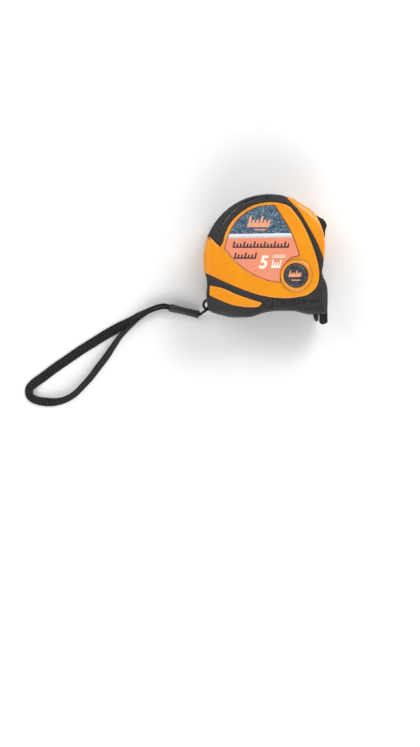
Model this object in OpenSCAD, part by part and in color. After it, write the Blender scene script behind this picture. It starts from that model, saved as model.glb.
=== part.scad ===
// Pocket tape measure with a rubber armoured case, belt clip and wrist strap.
// It lies on its back: +Z points out of the label, +X towards the mouth of the blade and +Y towards the
// top of the case. The origin is on the reel's axis, in the plane of the belt clip's outer face.
// All lengths are in millimetres and all angles in degrees.

/* [Case] */
// Radius of the round back of the case about the reel's axis
case_r = 40.9; // [40:0.1:42]
// Thickness of the case from its rear face to its front face
case_t = 33; // [32:0.5:36]
// Thickness of the rubber armour
jacket_t = 1.4; // [1:0.1:1.8]
// Thickness of the plastic shell under the armour
wall = 2.2; // [1.8:0.1:2.6]
// Radius of the rounded rim
rim_r = 5; // [3:0.5:6]
// Depth of the black rubber strip round the middle of the rim
rim_strip = 16; // [12:1:20]

/* [Blade] */
// Width of the blade across its edges
blade_w = 19; // [16:0.5:19]
// Thickness of the coated blade
blade_t = 0.3; // [0.2:0.05:0.4]
// Height of the hollow across the blade
blade_hollow = 1.5; // [1:0.1:2]
// Length of the free end of the blade inside the case
tongue_len = 62; // [58:1:64]
// Thickness of the end hook's steel
hook_t = 1.2; // [1:0.1:1.4]
// Play of the end hook on its rivets
hook_play = 1; // [0.5:0.1:1.2]

/* [Reel] */
// Outer radius of the drum that the blade is wound on
drum_r = 17; // [15:0.5:18]
// Outer radius of the wound blade
coil_r = 24.6; // [22:0.1:25]
// Radius of the fixed post that the reel turns on
arbor_r = 4.4; // [3.5:0.1:5]
// Gap between a shaft and its bore
shaft_gap = 0.08; // [0.02:0.01:0.1]

/* [Lock] */
// Travel of the lock about the reel's axis
lock_travel = 6; // [4:0.5:7]
// Width of the lock button across the case
button_w = 13; // [10:0.5:14]

/* [Clip and strap] */
// Width of the belt clip
clip_w = 19; // [14:1:20]
// Thickness of the belt clip's spring steel
clip_t = 1; // [0.8:0.1:1.2]
// Gap between the belt clip and the case
belt_gap = 5; // [4:0.5:5]
// Width of the strap's webbing
web_w = 6; // [5:0.5:7]
// Thickness of the strap's webbing
web_t = 1.2; // [0.8:0.1:1.4]
// Diameter of the strap's cord
cord_d = 1.5; // [1.2:0.1:1.6]

/* [Hidden] */
$fn = 48;

yellow = [0.98, 0.66, 0.1];
rubber = [0.2, 0.2, 0.22];
steel = [0.7, 0.71, 0.73];
dark = [0.25, 0.25, 0.28];
salmon = [0.94, 0.57, 0.43];
navy = [0.18, 0.2, 0.26];
white = [0.9, 0.9, 0.88];

big = 200;                          // longer than anything, for cutting tools
eps = 0.01;                         // overlap that joins two solids of one piece
through = 2;                        // how far a cutting tool goes past what it cuts
half_t = case_t / 2;
rear_z = clip_t + belt_gap;         // plane of the case's rear face
mid_z = rear_z + half_t;            // parting plane of the two halves, and middle of the blade
inner_z = half_t - wall;            // inside face of a half, from the parting plane
skin = jacket_t + wall;             // whole wall at the rim

// A closed or open curve through points, in which a point written twice makes a corner.
function curve_point(a, b, c, d, t) =
    b + t / 2 * ((c - a) + t * ((2 * a - 5 * b + 4 * c - d) + t * (3 * b - a - 3 * c + d)));
function curve(pts, steps = 4, closed = true) =
    let (n = len(pts), last = closed ? n - 1 : n - 2)
    [for (i = [0:last], k = [0:steps - 1])
        let (
            a = pts[closed ? (i + n - 1) % n : max(i - 1, 0)],
            b = pts[i],
            c = pts[(i + 1) % n],
            d = pts[closed ? (i + 2) % n : min(i + 2, n - 1)]
        )
        if (b != c) curve_point(a, b, c, d, k / steps)];
function arc(r, a0, a1, step = 6) =
    let (n = ceil(abs(a1 - a0) / step))
    [for (i = [0:n]) let (a = a0 + (a1 - a0) * i / n) r * [cos(a), sin(a)]];

// Outlines of the case and of what is on its face, seen from the front.
back_start = 68;                    // angles between which the back is round
back_end = 188;
front_profile = [
    [-38.8, -10], [-38.4, -15], [-38.9, -21], [-38.4, -26], [-37.5, -30], [-35, -31.9], [-30, -33.4],
    [-23, -34.9], [-14, -34.9], [-9.5, -34.2], [-4, -32.3], [2, -31.1], [9, -30.8], [16, -31],
    [21.5, -32.3], [26, -33.1], [34.3, -33.1], [35.5, -31.5], [36, -28], [35.9, -18], [34.9, -13.8],
    [33.2, -10], [32.5, -6.8], [33.3, -2.5], [34.1, 4], [34.4, 10], [33.8, 15], [32.2, 20.5],
    [30, 25.5], [27.8, 29.1], [24, 32.3], [20, 34.6]
];
main_face = [
    [-29, 11], [-27.5, 16.5], [-24.5, 22.6], [-19.5, 28.2], [-12.5, 33], [-6, 35.2], [0, 36], [6.2, 35.5],
    [12, 33.6], [16, 29.4], [20.3, 23.3], [24, 15.9], [27, 8.5], [29.2, 1.8], [30.7, -4.9], [30.9, -10.5],
    [29.5, -16], [26.4, -19.7], [22, -22.1], [12.5, -23.6], [3, -23.3], [-6, -21.8], [-14.7, -19],
    [-24.5, -15.1], [-36.5, -9.5], [-43, -6.5], [-43, -6.5], [-43, 11], [-43, 11], [-37, 15], [-37, 15],
    [-30.6, 8.5], [-30.6, 8.5]
];
shoulder_band = [
    [11, 37.8], [11, 37.8], [17.2, 31.2], [21.5, 24.5], [25.8, 17.1], [29.5, 9.8], [32.5, 2.4],
    [33.4, -1.4], [33.4, -1.4], [37, -1.4], [37, -1.4], [37, 10], [35, 19], [31, 27], [25, 34], [15, 41],
    [9, 43], [9, 43]
];
wing = [
    [-37, -15.3], [-37, -15.3], [-29, -16.9], [-21.4, -20.3], [-12.2, -23.6], [-4.2, -26], [-4.2, -26],
    [-6.5, -28.8], [-12.2, -29.3], [-21.4, -28.2], [-29, -25.6], [-37.2, -21.9], [-37.2, -21.9]
];
label = [
    [-27.5, 7.3], [-27.5, 7.3], [-25.4, 14.5], [-21.4, 22.4], [-16.5, 27.7], [-11, 31.2], [-5, 33.3],
    [3.1, 33.8], [3.1, 33.8], [7.4, 27], [11.7, 20.3], [15.6, 11.5], [18.4, 3], [18.4, 3], [12.9, 1.2],
    [8.8, -3.2], [6.9, -8.4], [6.8, -13.5], [6.8, -13.5], [-1, -12.3], [-8.5, -9.3], [-15.3, -5.4],
    [-21.6, 0.2]
];
badge_at = [16.3, -9.4];
badge_r = 7.5;
badge_ring_r = 9.75;
badge_ring_h = 0.6;
label_depth = 0.4;
label_gap = 0.15;                   // gap round a printed plate in its recess
label_plate_t = 0.35;
badge_plate_t = 0.6;

module outline() {
    polygon(concat(
        arc(case_r, back_start, back_end),
        curve(front_profile, closed = false),
        [front_profile[len(front_profile) - 1]]
    ));
}

// A bar seen end on, from x0 to x1, with rounded corners.
module rounded_bar(x0, x1, t, f) {
    translate([x0, f - t / 2]) square([x1 - x0, t - 2 * f]);
    translate([x0 + f, -t / 2]) square([x1 - x0 - 2 * f, t]);
    for (x = [x0 + f, x1 - f], side = [-1, 1]) {
        translate([x, side * (t / 2 - f)]) circle(f);
    }
}

// The whole case about its parting plane, shrunk by inset from its outer surface. The rim is rounded
// between these limits, which stand a little outside the outline.
rim_back = case_r + 0.3;
rim_left = -41.3;
rim_right = 36.3;
rim_bottom = -35.2;
rim_top = 15;
module case_solid(inset) {
    t = case_t - 2 * inset;
    f = rim_r - inset;
    back = rim_back - inset;
    intersection() {
        linear_extrude(t, center = true) {
            if (inset > 0) offset(delta = -inset) outline();
            else outline();
        }
        union() {
            rotate_extrude() intersection() {
                rounded_bar(-back, back, t, f);
                translate([0, -t]) square([back + 1, 2 * t]);
            }
            intersection() {
                rotate([90, 0, 0]) linear_extrude(big, center = true)
                    rounded_bar(rim_left + inset, rim_right - inset, t, f);
                rotate([90, 0, 90]) linear_extrude(big, center = true)
                    rounded_bar(rim_bottom + inset, rim_top - inset, t, f);
            }
        }
    }
}

module upper_half() {
    translate([-big / 2, -big / 2, 0]) cube(big);
}

// Where the yellow plastic comes through the armour.
module window_zone() {
    translate([0, 0, rim_strip / 2]) linear_extrude(half_t) {
        polygon(curve(main_face));
        polygon(curve(shoulder_band));
        polygon(curve(wing));
    }
}

// Channels that both halves leave open for the blade, the hook and the lock.
channel_w = blade_w + 3;
channel_x = -29;                    // far end of the channel under the reel
channel_floor = -28.4;
channel_h = 8;
guide_x = 18;                       // back and front ends of the blade's guide
mouth_x = 30.4;
guide_floor = -28.9;
guide_h = 6.1;
mouth_top = -24.6;                  // top of the notch in which the hook lies
bumper_w = blade_w + 2;
toe_x = 27.6;                       // back of the bumper's toe
module blade_space() {
    translate([channel_x, channel_floor, -channel_w / 2])
        cube([guide_x - channel_x + eps, channel_h, channel_w]);
    translate([guide_x, guide_floor, -channel_w / 2]) cube([mouth_x - guide_x, guide_h, channel_w]);
    translate([mouth_x, mouth_top - big, -channel_w / 2]) cube([big, big, channel_w]);
}
module bumper_space() {
    translate([toe_x, guide_floor - big, -bumper_w / 2]) cube([mouth_x - toe_x + eps, big, bumper_w]);
}
slider_r = 27;                      // inside radius of the lock's curved slider
slider_t = 1.4;
stem_from = 30;                     // angles of the stem that joins the slider and the button
stem_to = 37;
stem_w = 9;
stem_play = 0.8;                    // angle left free at each end of the stem's travel
module sector(r0, r1, a0, a1, h) {
    rotate([0, 0, a0]) rotate_extrude(angle = a1 - a0) translate([r0, -h / 2]) square([r1 - r0, h]);
}
module stem_slot() {
    sector(slider_r, case_r + through, stem_from - lock_travel - stem_play, stem_to + stem_play, stem_w + 1);
}
module cavity() {
    linear_extrude(2 * inner_z, center = true) offset(delta = -skin) outline();
}

screw_r = 1.2;
screw_room = 0.25;                  // gap between a screw and the hole it passes through
screw_head_r = 2.4;
screw_seat = 1.8;                   // depth of a screw head's seat
head_gap = 0.2;                     // gap between a screw's head and its seat
screw_depth = 13;                   // depth of a screw's hole in the front half
screw_places = [[-26, 20], [17, 28], [-27, -18], [30.6, -17.5]];
boss_r = 3;
boss_cover = 0.5;                   // how far a boss ends below the outside of the shell
hub_r = 8;                          // rings that hold the arbor
hub_depth = 2;                      // depth of the arbor's socket in a ring
arbor_half = inner_z - 1;           // half the arbor's length
module at_screws() {
    for (place = screw_places) translate(place) children();
}
module bosses() {
    intersection() {
        union() {
            at_screws() cylinder(r = boss_r, h = half_t);
            translate([0, 0, arbor_half - hub_depth]) cylinder(r = hub_r, h = half_t);
        }
        case_solid(jacket_t + boss_cover);
    }
}

// One half of the shell, seen from outside, before what differs between the two halves.
module half_shell() {
    difference() {
        union() {
            difference() {
                union() {
                    intersection() {
                        case_solid(jacket_t);
                        upper_half();
                    }
                    intersection() {
                        case_solid(0);
                        window_zone();
                    }
                }
                cavity();
            }
            bosses();
        }
        blade_space();
        bumper_space();
        stem_slot();
        translate([0, 0, -through]) cylinder(r = arbor_r, h = arbor_half + through);
    }
}

// Grip recesses under the main face: slanted, each one shorter than the one before.
recess_depth = 0.8;
recess_count = 5;
recess_pitch = 6.6;
recess_w = 4.2;
recess_len = 4.2;
recess_shrink = 0.7;
recess_slant = 1;
recess_at = [-1.8, -24.7];          // upper left corner of the first recess
module recesses() {
    for (i = [0:recess_count - 1]) {
        h = recess_len - recess_shrink * i;
        translate([recess_at.x + recess_pitch * i, recess_at.y, half_t - recess_depth]) linear_extrude(rim_r)
            polygon([[0, 0], [recess_w, 0], [recess_w - recess_slant, -h], [-recess_slant, -h]]);
    }
}
// Thin grooves along the round back: inner radius and the angles between which each one runs.
rim_groove_w = 0.8;
rim_groove_spans = [[36.3, 127, 144], [38, 92, 113]];
module rim_grooves() {
    translate([0, 0, half_t + rim_r / 2 - recess_depth]) {
        for (g = rim_groove_spans) sector(g[0], g[0] + rim_groove_w, g[1], g[2], rim_r);
    }
}

module half_jacket() {
    difference() {
        intersection() {
            case_solid(0);
            upper_half();
        }
        case_solid(jacket_t);
        window_zone();
        blade_space();
        bumper_space();
        stem_slot();
        recesses();
        rim_grooves();
    }
}

// The rear half is the front half turned over about the parting plane.
module place_front() {
    translate([0, 0, mid_z]) children();
}
module place_rear() {
    translate([0, 0, mid_z]) mirror([0, 0, 1]) children();
}

module front_shell() {
    color(yellow) place_front() difference() {
        union() {
            half_shell();
            translate([badge_at.x, badge_at.y, inner_z]) cylinder(r = badge_ring_r, h = wall + badge_ring_h);
        }
        translate([badge_at.x, badge_at.y, half_t - label_depth]) cylinder(r = badge_r, h = through);
        translate([0, 0, half_t - label_depth]) linear_extrude(through) difference() {
            polygon(curve(label));
            translate(badge_at) circle(badge_ring_r);
        }
        translate([0, 0, -through]) at_screws() cylinder(r = screw_r, h = screw_depth + through);
    }
}

// The rear half holds the screws, the belt clip and the strap's eye.
clip_screw_y = 23;
eye_at = [-37.6, -27];
eye_r = 2.2;
eye_bar = 1.7;
eye_z = 11.5;                       // middle of the eye, above the clip's plane
eye_w = 3;
eye_block_r = 5.6;                  // solid corner of the shell that holds the eye
cord_pocket_r = eye_r + 0.4;        // pocket in which the cord comes out of the eye
cord_pocket_h = 2.2;
module strap_pocket() {
    translate([eye_at.x, eye_at.y, eye_z]) {
        cylinder(r = eye_r + eye_bar, h = eye_w, center = true);
        cylinder(r = cord_pocket_r, h = eye_w + 2 * cord_pocket_h, center = true);
    }
}
eye_block_h = 9;
clip_screw_len = 4.8;               // length of the clip's screw inside the case
module screw_hole(depth) {
    cylinder(r = screw_head_r, h = screw_seat + through);
    cylinder(r = screw_r + screw_room, h = depth + through);
}
module rear_holes() {
    translate([0, 0, rear_z - through]) {
        at_screws() screw_hole(half_t);
        screw_hole(wall + hub_depth);
        translate([0, clip_screw_y]) cylinder(r = screw_r, h = clip_screw_len + 2 * through);
    }
}
module rear_shell() {
    color(yellow) difference() {
        union() {
            place_rear() half_shell();
            translate([0, clip_screw_y, rear_z + wall - eps]) cylinder(r = boss_r, h = clip_screw_len - wall);
            intersection() {
                translate([eye_at.x, eye_at.y, rear_z + wall - eps])
                    cylinder(r = eye_block_r, h = eye_block_h);
                place_rear() intersection() {
                    case_solid(jacket_t);
                    upper_half();
                }
            }
        }
        rear_holes();
        strap_pocket();
    }
}

module front_jacket() {
    color(rubber) place_front() half_jacket();
}
module rear_jacket() {
    color(rubber) difference() {
        place_rear() half_jacket();
        rear_holes();
        strap_pocket();
    }
}

module front_label() {
    color(salmon) translate([0, 0, mid_z + half_t - label_depth]) linear_extrude(label_plate_t)
        difference() {
            offset(delta = -label_gap) polygon(curve(label));
            translate(badge_at) circle(badge_ring_r + label_gap);
        }
}
module front_badge() {
    color(navy) translate([badge_at.x, badge_at.y, mid_z + half_t - label_depth])
        cylinder(r = badge_r - label_gap, h = badge_plate_t);
}

// Belt clip: a strip bent from its screwed root over the rear face to its flared end.
clip_bends = [
    [28, belt_gap], [18, belt_gap], [14, 0], [-14, 0], [-18.5, belt_gap - 1.6], [-20, belt_gap - 1.6],
    [-25, 1.6]
];
module belt_clip() {
    color(steel) difference() {
        rotate([90, 0, 90]) linear_extrude(clip_w, center = true) polygon(concat(
            clip_bends,
            [for (i = [len(clip_bends) - 1:-1:0]) clip_bends[i] + [0, clip_t]]
        ));
        translate([0, clip_screw_y, belt_gap - through])
            cylinder(r = screw_r + screw_room, h = clip_t + 2 * through);
    }
}
clip_head_r = 2.6;
clip_head_h = 1.6;
module clip_screw() {
    color(steel) translate([0, clip_screw_y, 0]) {
        translate([0, 0, belt_gap - clip_head_h]) cylinder(r = clip_head_r, h = clip_head_h);
        translate([0, 0, belt_gap - eps]) cylinder(r = screw_r, h = clip_t + clip_screw_len);
    }
}
module seated_screw(length) {
    cylinder(r = screw_head_r - head_gap, h = screw_seat);
    cylinder(r = screw_r, h = length);
}
screw_reach = 8;                    // length of a screw that is in the piece it holds
module case_screws() {
    color(steel) translate([0, 0, rear_z]) at_screws() seated_screw(half_t + screw_reach);
}

// The arbor is pinched between the rings of the two halves, and holds the spring's end in its slot.
arbor_slot_w = 1;
arbor_slot_z = 5;                   // distance from the end of the arbor to its slot
module arbor_post() {
    color(white) translate([0, 0, mid_z - arbor_half]) difference() {
        cylinder(r = arbor_r, h = 2 * arbor_half);
        translate([0, 0, -through]) cylinder(r = screw_r, h = screw_reach + through);
        translate([-arbor_slot_w / 2, -arbor_r - through, arbor_slot_z])
            cube([arbor_slot_w, arbor_r + through, 2 * (arbor_half - arbor_slot_z)]);
    }
}
module centre_screw() {
    color(steel) translate([0, 0, rear_z]) seated_screw(wall + screw_reach);
}

cheek_t = 1.1;                      // side of the guide, at an edge of the blade
lip_at = [27.2, -24.2];             // lower back corner of the lip over the blade
lip_t = 1.4;
module mouth_guide() {
    color(dark) place_front() {
        for (z = [-channel_w / 2, channel_w / 2 - cheek_t]) {
            translate([guide_x, guide_floor, z]) cube([mouth_x - guide_x, guide_h, cheek_t]);
        }
        translate([lip_at.x, lip_at.y, -channel_w / 2]) cube([mouth_x - lip_at.x, lip_t, channel_w]);
    }
}
toe = [
    [toe_x, guide_floor], [toe_x, guide_floor], [toe_x, -33.5], [27.9, -35.5], [28.8, -37.1],
    [29.8, -37.5], [mouth_x, -36.8], [mouth_x, -36.8], [mouth_x, guide_floor], [mouth_x, guide_floor]
];
stop_y = -33;                       // lower edge of the block on the toe that stops the hook
stop_size = [4, 3.6, 15];
module mouth_bumper() {
    color(rubber) place_front() {
        linear_extrude(bumper_w, center = true) polygon(curve(toe));
        translate([mouth_x - eps, stop_y, -stop_size.z / 2]) cube(stop_size);
    }
}

module strap_bar() {
    color(dark) translate([eye_at.x, eye_at.y, eye_z]) difference() {
        cylinder(r = eye_r + eye_bar, h = eye_w, center = true);
        cylinder(r = eye_r, h = eye_w + through, center = true);
    }
}

// Route of the strap's cord: out of the sleeve, through the eye and back.
cord_route = [
    [-43.3, -33.1, 2.4], [-41.6, -32.1, 4.4], [-39.9, -31, 6.8], [-38.4, -29.8, 8.6], [-37.8, -28.6, 9.2],
    [-37.8, -28.2, 10.2], [-37.8, -28.2, 12.8], [-37.8, -28.6, 13.8], [-38.4, -29.8, 14.4],
    [-39.9, -30.95, 13.9], [-40.9, -31.6, 11.6], [-42.1, -32.3, 8], [-43.3, -33.1, 4.8]
];
// Route of the webbing: x, y and how far it leans from flat, with its inner edge raised.
web_route = [
    [-61.5, -27.5, 90], [-65.5, -26.5, 90], [-70.5, -27.5, 88], [-76, -30, 80], [-81, -33, 62],
    [-86.5, -37, 36], [-93, -40.5, 10], [-101, -45, 0], [-109, -50, 0], [-117, -55, 0], [-125, -60.5, 0],
    [-133, -66, 0], [-141, -72, 0], [-146.5, -76, 12], [-149.5, -79.5, 30], [-149, -84, 34],
    [-145, -86.5, 30], [-139, -87.5, 24], [-133, -87.5, 38], [-127, -86, 50], [-121, -82.5, 54],
    [-116, -77.5, 54], [-111, -72, 52], [-106.5, -66, 50], [-101.5, -59.5, 50], [-97.5, -53.5, 55],
    [-93, -47, 62], [-88, -42, 72], [-84, -38.5, 80], [-79.5, -35, 88], [-75, -32, 90], [-70, -30, 90],
    [-65, -29, 90], [-61, -30, 90]
];
function unit(v) = v / norm(v);
function route_dir(pts, i) = unit(pts[min(i + 1, len(pts) - 1)] - pts[max(i - 1, 0)]);
function rings_to_solid(rings) = [
    [for (ring = rings, p = ring) p],
    let (n = len(rings[0]), m = len(rings))
    concat(
        [[for (k = [0:n - 1]) k]],
        [for (i = [0:m - 2], k = [0:n - 1]) [i * n + k, (i + 1) * n + k, (i + 1) * n + (k + 1) % n]],
        [for (i = [0:m - 2], k = [0:n - 1]) [i * n + k, (i + 1) * n + (k + 1) % n, i * n + (k + 1) % n]],
        [[for (k = [n - 1:-1:0]) (m - 1) * n + k]]
    )
];
module sweep(rings) {
    solid = rings_to_solid(rings);
    polyhedron(points = solid[0], faces = solid[1]);
}
cord_sides = 8;
cord_cross = [0.8, -0.6, 0];        // direction across which the cord's loop lies
module strap_cord() {
    color(rubber) sweep([for (i = [0:len(cord_route) - 1])
        let (
            along = route_dir(cord_route, i),
            side = unit(cross(along, cord_cross)),
            up = cross(side, along)
        )
        [for (k = [0:cord_sides - 1])
            let (a = 360 * k / cord_sides)
            cord_route[i] + cord_d / 2 * (cos(a) * side + sin(a) * up)]
    ]);
}
web_edge = 0.3;                     // rounding of the webbing's edges
module strap_webbing() {
    w = web_w / 2;
    t = web_t / 2;
    section = [
        [w, web_edge - t], [w, t - web_edge], [w - web_edge, t], [web_edge - w, t],
        [-w, t - web_edge], [-w, web_edge - t], [web_edge - w, -t], [w - web_edge, -t]
    ];
    color(rubber) sweep([for (i = [0:len(web_route) - 1])
        let (
            lean = web_route[i][2],
            flat = [for (p = web_route) [p.x, p.y]],
            along = route_dir(flat, i),
            left = [-along.y, along.x, 0],
            wide = cos(lean) * left + [0, 0, sin(lean)],
            thick = [0, 0, cos(lean)] - sin(lean) * left,
            middle = [web_route[i].x, web_route[i].y, w * sin(lean) + t * cos(lean)]
        )
        [for (p = section) middle + p.x * wide + p.y * thick]
    ]);
}
sleeve_from = [-43.3, -33.1];
sleeve_to = [-61.3, -28.7];
sleeve_z = 3.6;
sleeve_size = [5, 7];
sleeve_round = 1.6;
module strap_sleeve() {
    run = sleeve_to - sleeve_from;
    core = sleeve_size - 2 * sleeve_round * [1, 1];
    color(dark) translate([sleeve_from.x, sleeve_from.y, sleeve_z]) rotate([90, 0, 90 + atan2(run.y, run.x)])
        linear_extrude(norm(run)) offset(r = sleeve_round) square(core, center = true);
}

// Reel: a drum with its rear flange, closed by a cover with the front flange.
flange_t = 1.4;
flange_r = coil_r + 1;
reel_gap = 0.2;                     // between a flange and the edge of the blade
drum_wall = 1;
spigot_gap = 0.1;                   // gap round the ring of the cover that centres it in the drum
spigot_wall = 1.9;
spigot_len = 1.5;
reel_bore = arbor_r + shaft_gap;
blade_side = blade_w / 2;
reel_side = blade_side + reel_gap;  // inner face of a flange, from the parting plane
module reel_drum() {
    color(white) place_front() difference() {
        union() {
            translate([0, 0, -reel_side - flange_t]) cylinder(r = flange_r, h = flange_t);
            translate([0, 0, -reel_side - eps]) cylinder(r = drum_r, h = 2 * reel_side);
        }
        translate([0, 0, -reel_side]) cylinder(r = drum_r - drum_wall, h = 2 * reel_side + through);
        cylinder(r = reel_bore, h = big, center = true);
    }
}
module reel_cover() {
    spigot_r = drum_r - drum_wall - spigot_gap;
    color(white) place_front() difference() {
        union() {
            translate([0, 0, reel_side]) cylinder(r = flange_r, h = flange_t);
            translate([0, 0, reel_side - spigot_len]) cylinder(r = spigot_r, h = spigot_len + eps);
        }
        cylinder(r = reel_bore, h = big, center = true);
        translate([0, 0, reel_side - through]) cylinder(r = spigot_r - spigot_wall, h = through);
    }
}
turn_grooves = 6;                   // grooves that show the turns of the wound blade
turn_groove_w = 0.3;
turn_groove_depth = 0.3;
module turn_groove(r) {
    difference() {
        cylinder(r = r + turn_groove_w / 2, h = 2 * turn_groove_depth, center = true);
        cylinder(r = r - turn_groove_w / 2, h = through, center = true);
    }
}
module blade_coil() {
    pitch = (coil_r - drum_r) / (turn_grooves + 1);
    color(yellow) place_front() difference() {
        cylinder(r = coil_r, h = blade_w, center = true);
        cylinder(r = drum_r, h = blade_w + through, center = true);
        for (i = [1:turn_grooves], side = [-1, 1]) {
            translate([0, 0, side * blade_side]) turn_groove(drum_r + pitch * i);
        }
    }
}
spring_turns = 5;
spring_t = 0.5;
spring_w = 14;
spring_gap = 0.5;                   // between the arbor and the innermost turn
spring_steps = 20;                  // points in one turn of the spring
function spring_edge(r0, r1) = [for (i = [0:spring_turns * spring_steps])
    let (share = i / (spring_turns * spring_steps), a = 360 * spring_turns * share)
    (r0 + (r1 - r0) * share) * [cos(a), sin(a)]];
module power_spring() {
    inner = reel_bore + spring_gap;
    outer = drum_r - drum_wall - spigot_gap;
    edge = spring_edge(inner, outer - spring_t);
    back = spring_edge(inner + spring_t, outer);
    color(steel) place_front() linear_extrude(spring_w, center = true) polygon(concat(
        edge, [for (i = [len(back) - 1:-1:0]) back[i]]
    ));
}

// Blade: a strip that is a slice of a wide tube, hollow side up.
blade_r = (blade_side * blade_side + blade_hollow * blade_hollow) / (2 * blade_hollow);
blade_floor = -28;                  // lowest line of the blade
blade_end = 34.6;
blade_axis_y = blade_floor + blade_t + blade_r;
blade_sides = 180;                  // sides of the full circle of which the blade is a slice
module blade_slice(r_in, r_out, x0, x1, w) {
    intersection() {
        translate([x0, blade_axis_y, 0]) rotate([0, 90, 0]) difference() {
            cylinder(r = r_out, h = x1 - x0, $fn = blade_sides);
            translate([0, 0, -through]) cylinder(r = r_in, h = x1 - x0 + 2 * through, $fn = blade_sides);
        }
        translate([x0 - through, blade_axis_y - big, -w / 2]) cube([x1 - x0 + 2 * through, big, w]);
    }
}
rivet_r = 1;
rivet_head_r = 1.8;
rivet_head_t = 0.4;
rivet_xs = [28, 32];
rivet_cut = 6;                      // length of a tool that cuts a rivet's hole
module rivet_hole(x, r) {
    translate([x, blade_floor, 0]) rotate([90, 0, 0]) cylinder(r = r, h = rivet_cut, center = true);
}
module blade_tongue() {
    color(yellow) place_front() difference() {
        blade_slice(blade_r, blade_r + blade_t, blade_end - tongue_len, blade_end, blade_w);
        for (x = rivet_xs) rivet_hole(x, rivet_r);
    }
}
hook_gap = 0.05;                    // gap between the hook's foot and the blade, and under a rivet head
foot_top = blade_floor + blade_t + hook_gap + hook_t;
module hook_rivets() {
    shank = foot_top + hook_gap - blade_floor;
    color(steel) place_front() for (x = rivet_xs) translate([x, blade_floor, 0]) rotate([90, 0, 0]) {
        translate([0, 0, -shank - rivet_head_t]) cylinder(r = rivet_head_r, h = rivet_head_t + eps);
        translate([0, 0, -shank]) cylinder(r = rivet_r, h = shank + eps);
        cylinder(r = rivet_head_r, h = rivet_head_t);
    }
}
hook_front = 36;
hook_w = blade_w + 0.8;
hook_top = -25.8;                   // top edge of the hook's front plate
hook_bottom = -38.4;
foot_x = 26;                        // back end of the hook's foot, which the rivets hold
foot_w = 16;
ear_r = 2.35;                       // rounded ears at the two sides of the front plate
ear_t = 1;
ear_bottom = -39.3;
ear_top = -28.65;
nail_slot_y = -34.5;                // middle of the slot that hangs on a nail's head
nail_slot = [1.8, 6];
module hook_slot(x) {
    r = rivet_r + shaft_gap;
    for (shift = [-hook_play, 0]) rivet_hole(x + shift, r);
    translate([x - hook_play, blade_floor - rivet_cut / 2, -r]) cube([hook_play, rivet_cut, 2 * r]);
}
module hook_ear() {
    translate([-ear_r, 0, 0]) cube([2 * ear_r, ear_top - ear_bottom - ear_r, ear_t]);
    cylinder(r = ear_r, h = ear_t);
}
module end_hook() {
    plate_x = hook_front - hook_t;
    color(dark) place_front() difference() {
        union() {
            blade_slice(blade_r - hook_t, blade_r - hook_gap, foot_x, plate_x + eps, foot_w);
            translate([plate_x, hook_bottom, -hook_w / 2]) cube([hook_t, hook_top - hook_bottom, hook_w]);
            for (z = [-hook_w / 2, hook_w / 2 - ear_t]) {
                translate([hook_front - ear_r, ear_bottom + ear_r, z]) hook_ear();
            }
        }
        for (x = rivet_xs) hook_slot(x);
        translate([plate_x - through, nail_slot_y - nail_slot[0] / 2, -nail_slot[1] / 2])
            cube([hook_t + 2 * through, nail_slot[0], nail_slot[1]]);
    }
}

// Lock: a button on the front, joined to a slider that curves round the reel to the brake pad.
button_outline = [
    [29, 28.2], [29, 28.2], [30.6, 27.2], [33.7, 25.4], [35.3, 23], [35.6, 21.4], [35.1, 19.9],
    [34.6, 18], [34.7, 15], [34.7, 15], [34.15, 15.1], [34.15, 15.1], [32.6, 20.6], [30.4, 25.6]
];
stem_r = 39.7;                      // outer radius of the stem, inside the button
slider_from = -47;                  // angles between which the slider curves round the reel
slider_to = 40;
brake_x = [18.6, 22.5];             // back and front ends of the brake's foot
brake_top = -19.6;
brake_y = -23.6;                    // joint of the foot and the pad
pad_front = -25;                    // lower edge of the pad, which slopes down towards its back end
pad_back = -25.4;
brake_w = 8;
module lock_button() {
    color(dark) place_front() {
        linear_extrude(button_w, center = true) polygon(curve(button_outline, 3));
        sector(slider_r + slider_t, stem_r, stem_from, stem_to, stem_w);
    }
}
module lock_slider() {
    color(dark) place_front() {
        sector(slider_r, slider_r + slider_t, slider_from, slider_to, button_w);
        translate([brake_x[0], brake_y, -brake_w / 2])
            cube([brake_x[1] - brake_x[0], brake_top - brake_y, brake_w]);
    }
}
module brake_pad() {
    color(rubber) place_front() linear_extrude(brake_w, center = true) polygon([
        [brake_x[0], brake_y], [brake_x[1], brake_y], [brake_x[1], pad_front], [brake_x[0], pad_back]
    ]);
}

front_shell();
rear_shell();
front_jacket();
rear_jacket();
front_label();
front_badge();
belt_clip();
clip_screw();
case_screws();
arbor_post();
centre_screw();
mouth_guide();
mouth_bumper();
strap_bar();
strap_cord();
strap_sleeve();
strap_webbing();
reel_drum();
reel_cover();
blade_coil();
power_spring();
blade_tongue();
hook_rivets();
end_hook();
lock_button();
lock_slider();
brake_pad();
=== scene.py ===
"""Looks of a pocket tape measure with a rubber armoured case, a belt clip and a wrist strap.

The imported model's frame is kept: +Z out of the label, +X towards the blade's mouth, +Y towards the top of
the case, and the origin on the reel's axis in the plane of the belt clip. Shapes are worked out in
millimetres and scaled to metres when a mesh is made.
"""

import math

import bmesh
import bpy
import numpy as np
from mathutils import Matrix, Vector
from mathutils.bvhtree import BVHTree
from mathutils.kdtree import KDTree


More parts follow.
